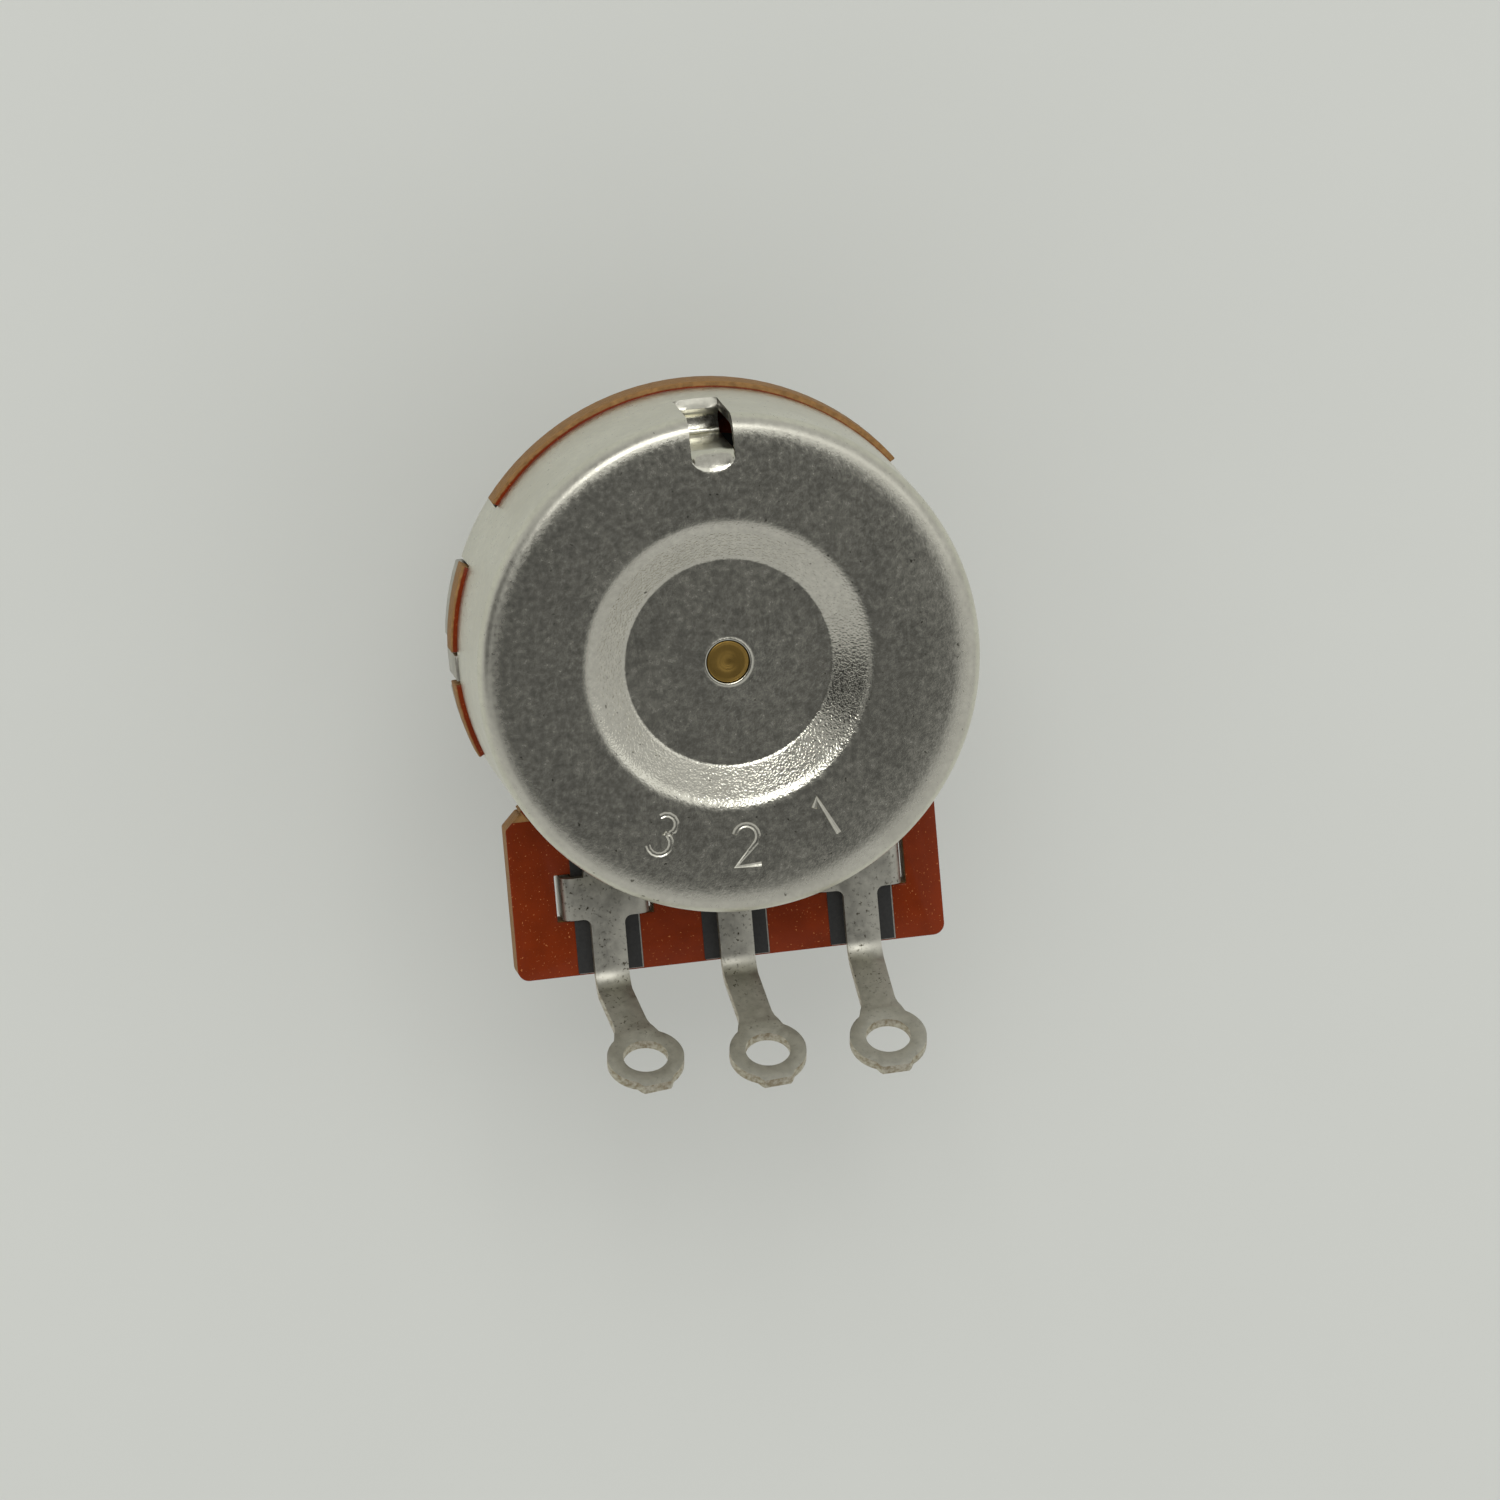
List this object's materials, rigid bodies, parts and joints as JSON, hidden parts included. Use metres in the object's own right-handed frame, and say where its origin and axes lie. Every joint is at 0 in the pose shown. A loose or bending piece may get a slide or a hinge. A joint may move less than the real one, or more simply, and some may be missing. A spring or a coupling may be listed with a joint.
{
  "type": "rotary potentiometer",
  "caption": "Rotary potentiometer with a drawn steel cover, brown element board with bent eyelet terminals, threaded bushing and a turning shaft.",
  "frame": {"origin": "centre of the bushing shoulder's front face, where the part seats on a panel, on the shaft's axis", "axes": "+Z along the shaft's axis out of the rear cover, so the shaft points to -Z; terminals point to -Y"},
  "size_m": [0.0246, 0.033, 0.0303],
  "materials": {
    "rear_cover": "tin-plated drawn steel, satin and finely mottled",
    "front_plate": "tin-plated steel",
    "bushing": "nickel-plated brass, threaded",
    "element_board": "paper-based phenolic laminate, red-brown",
    "resistive_track": "printed carbon",
    "collector_ring": "printed silver ink",
    "lead_left": "printed conductive ink, dark",
    "lead_middle": "printed conductive ink, dark",
    "lead_right": "printed conductive ink, dark",
    "terminal_left": "tinned brass, dull",
    "terminal_middle": "tinned brass, dull",
    "terminal_right": "tinned brass, dull",
    "shaft": "turned brass",
    "thrust_washer": "steel",
    "retaining_ring": "spring steel",
    "rotor": "moulded phenolic, black",
    "wiper_spring": "spring bronze"
  },
  "bodies": {
    "housing": {"rear_cover": "rear_cover", "front_plate": "front_plate", "bushing": "bushing", "element_board": "element_board", "resistive_track": "resistive_track", "collector_ring": "collector_ring", "lead_left": "lead_left", "lead_middle": "lead_middle", "lead_right": "lead_right", "terminal_left": "terminal_left", "terminal_middle": "terminal_middle", "terminal_right": "terminal_right", "thrust_washer": "thrust_washer"},
    "spindle": {"shaft": "shaft", "retaining_ring": "retaining_ring", "rotor": "rotor", "wiper_spring": "wiper_spring"}
  },
  "joints": [
    {"name": "shaft_turn", "type": "hinge", "parent": "housing", "child": "spindle", "pos_m": [0, 0, 0], "axis": [0, 0, 1], "range_deg": [-150, 150]}
  ]
}
